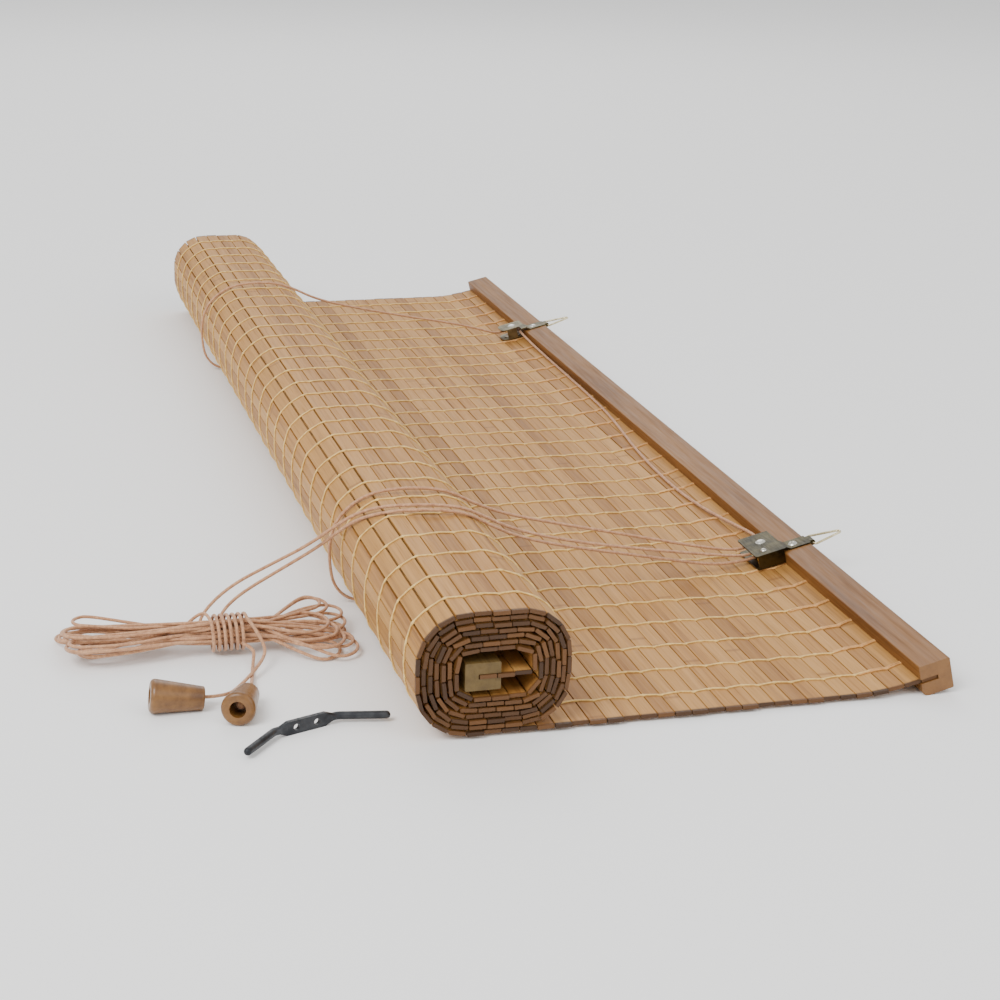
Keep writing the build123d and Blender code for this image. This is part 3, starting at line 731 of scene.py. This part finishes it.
def woodMaterial(
    name,
    stops,
    roughness,
    across=150.0,
    along=5.0,
    endLimit=None,
    coat=0.0,
    endColour=(0.2, 0.1, 0.04),
):
    material, tree, shader, where = startMaterial(
        name,
        roughness,
        Specular_IOR_Level=0.4,
        Coat_Weight=coat,
        Coat_Roughness=0.3,
    )
    grain = placeGroup(tree, grainGroup, (("Vector", where), ("Across", across), ("Along", along)))
    colour = addRamp(tree, grain.outputs["Streak"], stops)
    colour = mixColour(tree, rangeOf(tree, grain.outputs["Pore"], 0.55, 0.75, 0.0, 0.45), colour, stops[0][1])
    colour = mixColour(tree, rangeOf(tree, grain.outputs["Cloud"], 0.4, 0.7, 0.0, 0.3), colour, stops[-1][1])
    if endLimit:
        parts = addNode(tree, "SeparateXYZ", (("Vector", where),))
        reach = addNode(tree, "Math", ((0, parts.outputs["Y"]),), operation="ABSOLUTE").outputs[0]
        colour = mixColour(
            tree,
            rangeOf(tree, reach, endLimit, endLimit + 0.0008, 0.0, 0.75),
            colour,
            endColour,
        )
    tree.links.new(colour, shader.inputs["Base Color"])
    tree.links.new(
        rangeOf(tree, grain.outputs["Pore"], 0.3, 0.7, roughness - 0.1, roughness + 0.15),
        shader.inputs["Roughness"],
    )
    addBump(tree, shader, grain.outputs["Pore"], 0.25, 0.0003)
    return material


def metalMaterial(name, dark, light, roughness, metallic=1.0, smudge=120.0):
    material, tree, shader, where = startMaterial(name, roughness, metallic)
    wear = placeGroup(tree, wearGroup, (("Vector", where), ("Smudge", smudge), ("Scratch", 900.0)))
    tree.links.new(
        addRamp(tree, wear.outputs["Smudge"], ((0.38, dark), (0.62, light))),
        shader.inputs["Base Color"],
    )
    tree.links.new(
        rangeOf(tree, wear.outputs["Scratch"], 0.35, 0.7, roughness - 0.08, roughness + 0.14),
        shader.inputs["Roughness"],
    )
    addBump(tree, shader, wear.outputs["Scratch"], 0.12, 0.0001)
    return material


def fibreMaterial(name, dark, light, scale, roughness=0.8, strength=0.6):
    material, tree, shader, where = startMaterial(name, roughness, Sheen_Weight=0.25, Sheen_Roughness=0.5)
    braid = placeGroup(tree, braidGroup, (("Vector", where), ("Scale", scale)))
    colour = addRamp(tree, braid.outputs["Fibre"], ((0.32, dark), (0.66, light)))
    # painted shade: the grooves between the braid's bumps are darkened towards the dark fibre colour
    colour = mixColour(tree, rangeOf(tree, braid.outputs["Height"], 0.35, 0.75, 0.45, 0.0), colour, dark)
    tree.links.new(colour, shader.inputs["Base Color"])
    addBump(tree, shader, braid.outputs["Height"], strength, 0.0004)
    return material


bamboo = bambooMaterial(bambooSettings)
railWood = woodMaterial(
    "railWood",
    ((0.3, (0.10, 0.037, 0.007)), (0.5, (0.19, 0.08, 0.018)), (0.75, (0.265, 0.122, 0.031))),
    0.48,
    120.0,
    4.0,
    0.4995,
)
bottomWood = woodMaterial(
    "bottomRailWood",
    ((0.3, (0.07, 0.04, 0.01)), (0.5, (0.11, 0.068, 0.018)), (0.75, (0.15, 0.097, 0.029))),
    0.55,
    120.0,
    4.0,
)
tasselWood = woodMaterial(
    "tasselWood",
    ((0.3, (0.08, 0.029, 0.005)), (0.5, (0.165, 0.07, 0.014)), (0.75, (0.24, 0.112, 0.026))),
    0.38,
    120.0,
    60.0,
    coat=0.35,
)
zincSteel = metalMaterial("zincSteel", (0.10, 0.085, 0.046), (0.24, 0.21, 0.125), 0.36)
bronzedSteel = metalMaterial("bronzedSteel", (0.03, 0.025, 0.012), (0.085, 0.07, 0.032), 0.36, smudge=90.0)
rivetSteel = metalMaterial("rivetSteel", (0.55, 0.53, 0.47), (0.78, 0.76, 0.7), 0.22)
brass = metalMaterial("brass", (0.52, 0.36, 0.13), (0.78, 0.6, 0.28), 0.27)
wireSteel = metalMaterial("wireSteel", (0.45, 0.38, 0.22), (0.72, 0.64, 0.42), 0.28)
cleatSteel = metalMaterial("cleatSteel", (0.018, 0.02, 0.024), (0.048, 0.05, 0.055), 0.42, 0.55)
nylon = woodMaterial(
    "nylon",
    ((0.3, (0.62, 0.6, 0.53)), (0.5, (0.7, 0.68, 0.61)), (0.7, (0.75, 0.73, 0.66))),
    0.45,
    200.0,
    200.0,
)
cordFibre = fibreMaterial("cordFibre", (0.36, 0.165, 0.078), (0.68, 0.39, 0.21), 1300.0)
threadFibre = fibreMaterial("threadFibre", (0.58, 0.335, 0.075), (0.92, 0.66, 0.23), 2200.0, 0.6, 0.4)
headFibre = fibreMaterial("headFibre", (0.50, 0.22, 0.05), (0.76, 0.42, 0.13), 2200.0, 0.6, 0.4)

finishes = {
    "head_rail": railWood,
    "bottom_rail": bottomWood,
    "pulley_bracket": zincSteel,
    "guide_pulley": nylon,
    "guide_pulley_axle": rivetSteel,
    "pulley_bracket_screw": rivetSteel,
    "pulley_bracket_hanger_loop": wireSteel,
    "cord_lock_housing": bronzedSteel,
    "lock_pulley": brass,
    "lock_pulley_axle": rivetSteel,
    "lock_cam": brass,
    "lock_cam_pin": rivetSteel,
    "cord_lock_screw": rivetSteel,
    "cord_lock_hanger_loop": wireSteel,
    "tassel_1": tasselWood,
    "tassel_2": tasselWood,
    "knot_1": cordFibre,
    "knot_2": cordFibre,
    "cord_cleat": cleatSteel,
}


def paint(piece, material):
    piece.data.materials.clear()
    piece.data.materials.append(material)


for node, material in finishes.items():
    for slot in nodes[node].material_slots:
        slot.material = material
for piece, material in (
    (cordA, cordFibre),
    (cordB, cordFibre),
    (flatMat, bamboo),
    (rolledMat, bamboo),
    (upperThreads, threadFibre),
    (lowerThreads, threadFibre),
    (headThreads[0], headFibre),
    (headThreads[1], headFibre),
):
    paint(piece, material)
print("materials done")

# floor and lights

stageSettings = {
    "floorSize": 12.0,
    "floorColour": (0.93, 0.93, 0.925),
    "worldStrength": 0.95,
    "lights": (
        ("key", (-1.9, -1.6, 2.4), 1.6, 92.0),
        ("fill", (1.6, -2.2, 1.6), 2.0, 22.0),
        ("back", (0.4, 2.4, 2.2), 2.2, 30.0),
    ),
}


def addStage(settings):
    rough = bmesh.new()
    bmesh.ops.create_grid(rough, x_segments=1, y_segments=1, size=settings["floorSize"] / 2)
    data = bpy.data.meshes.new("floor")
    rough.to_mesh(data)
    rough.free()
    floor = bpy.data.objects.new("floor", data)
    bpy.context.collection.objects.link(floor)
    material = bpy.data.materials.new("floorPaper")
    material.use_nodes = True
    shader = material.node_tree.nodes["Principled BSDF"]
    shader.inputs["Base Color"].default_value = (*settings["floorColour"], 1)
    shader.inputs["Roughness"].default_value = 0.9
    paint(floor, material)
    for name, place, size, power in settings["lights"]:
        data = bpy.data.lights.new(name, "AREA")
        data.size = size
        data.energy = power
        light = bpy.data.objects.new(name, data)
        light.location = place
        light.rotation_euler = (Vector((0, -0.1, 0)) - Vector(place)).to_track_quat("-Z", "Y").to_euler()
        bpy.context.collection.objects.link(light)
    world = bpy.data.worlds.new("studio")
    bpy.context.scene.world = world
    world.use_nodes = True
    world.node_tree.nodes["Background"].inputs["Color"].default_value = (1, 1, 1, 1)
    world.node_tree.nodes["Background"].inputs["Strength"].default_value = settings["worldStrength"]


addStage(stageSettings)
print("stage done")
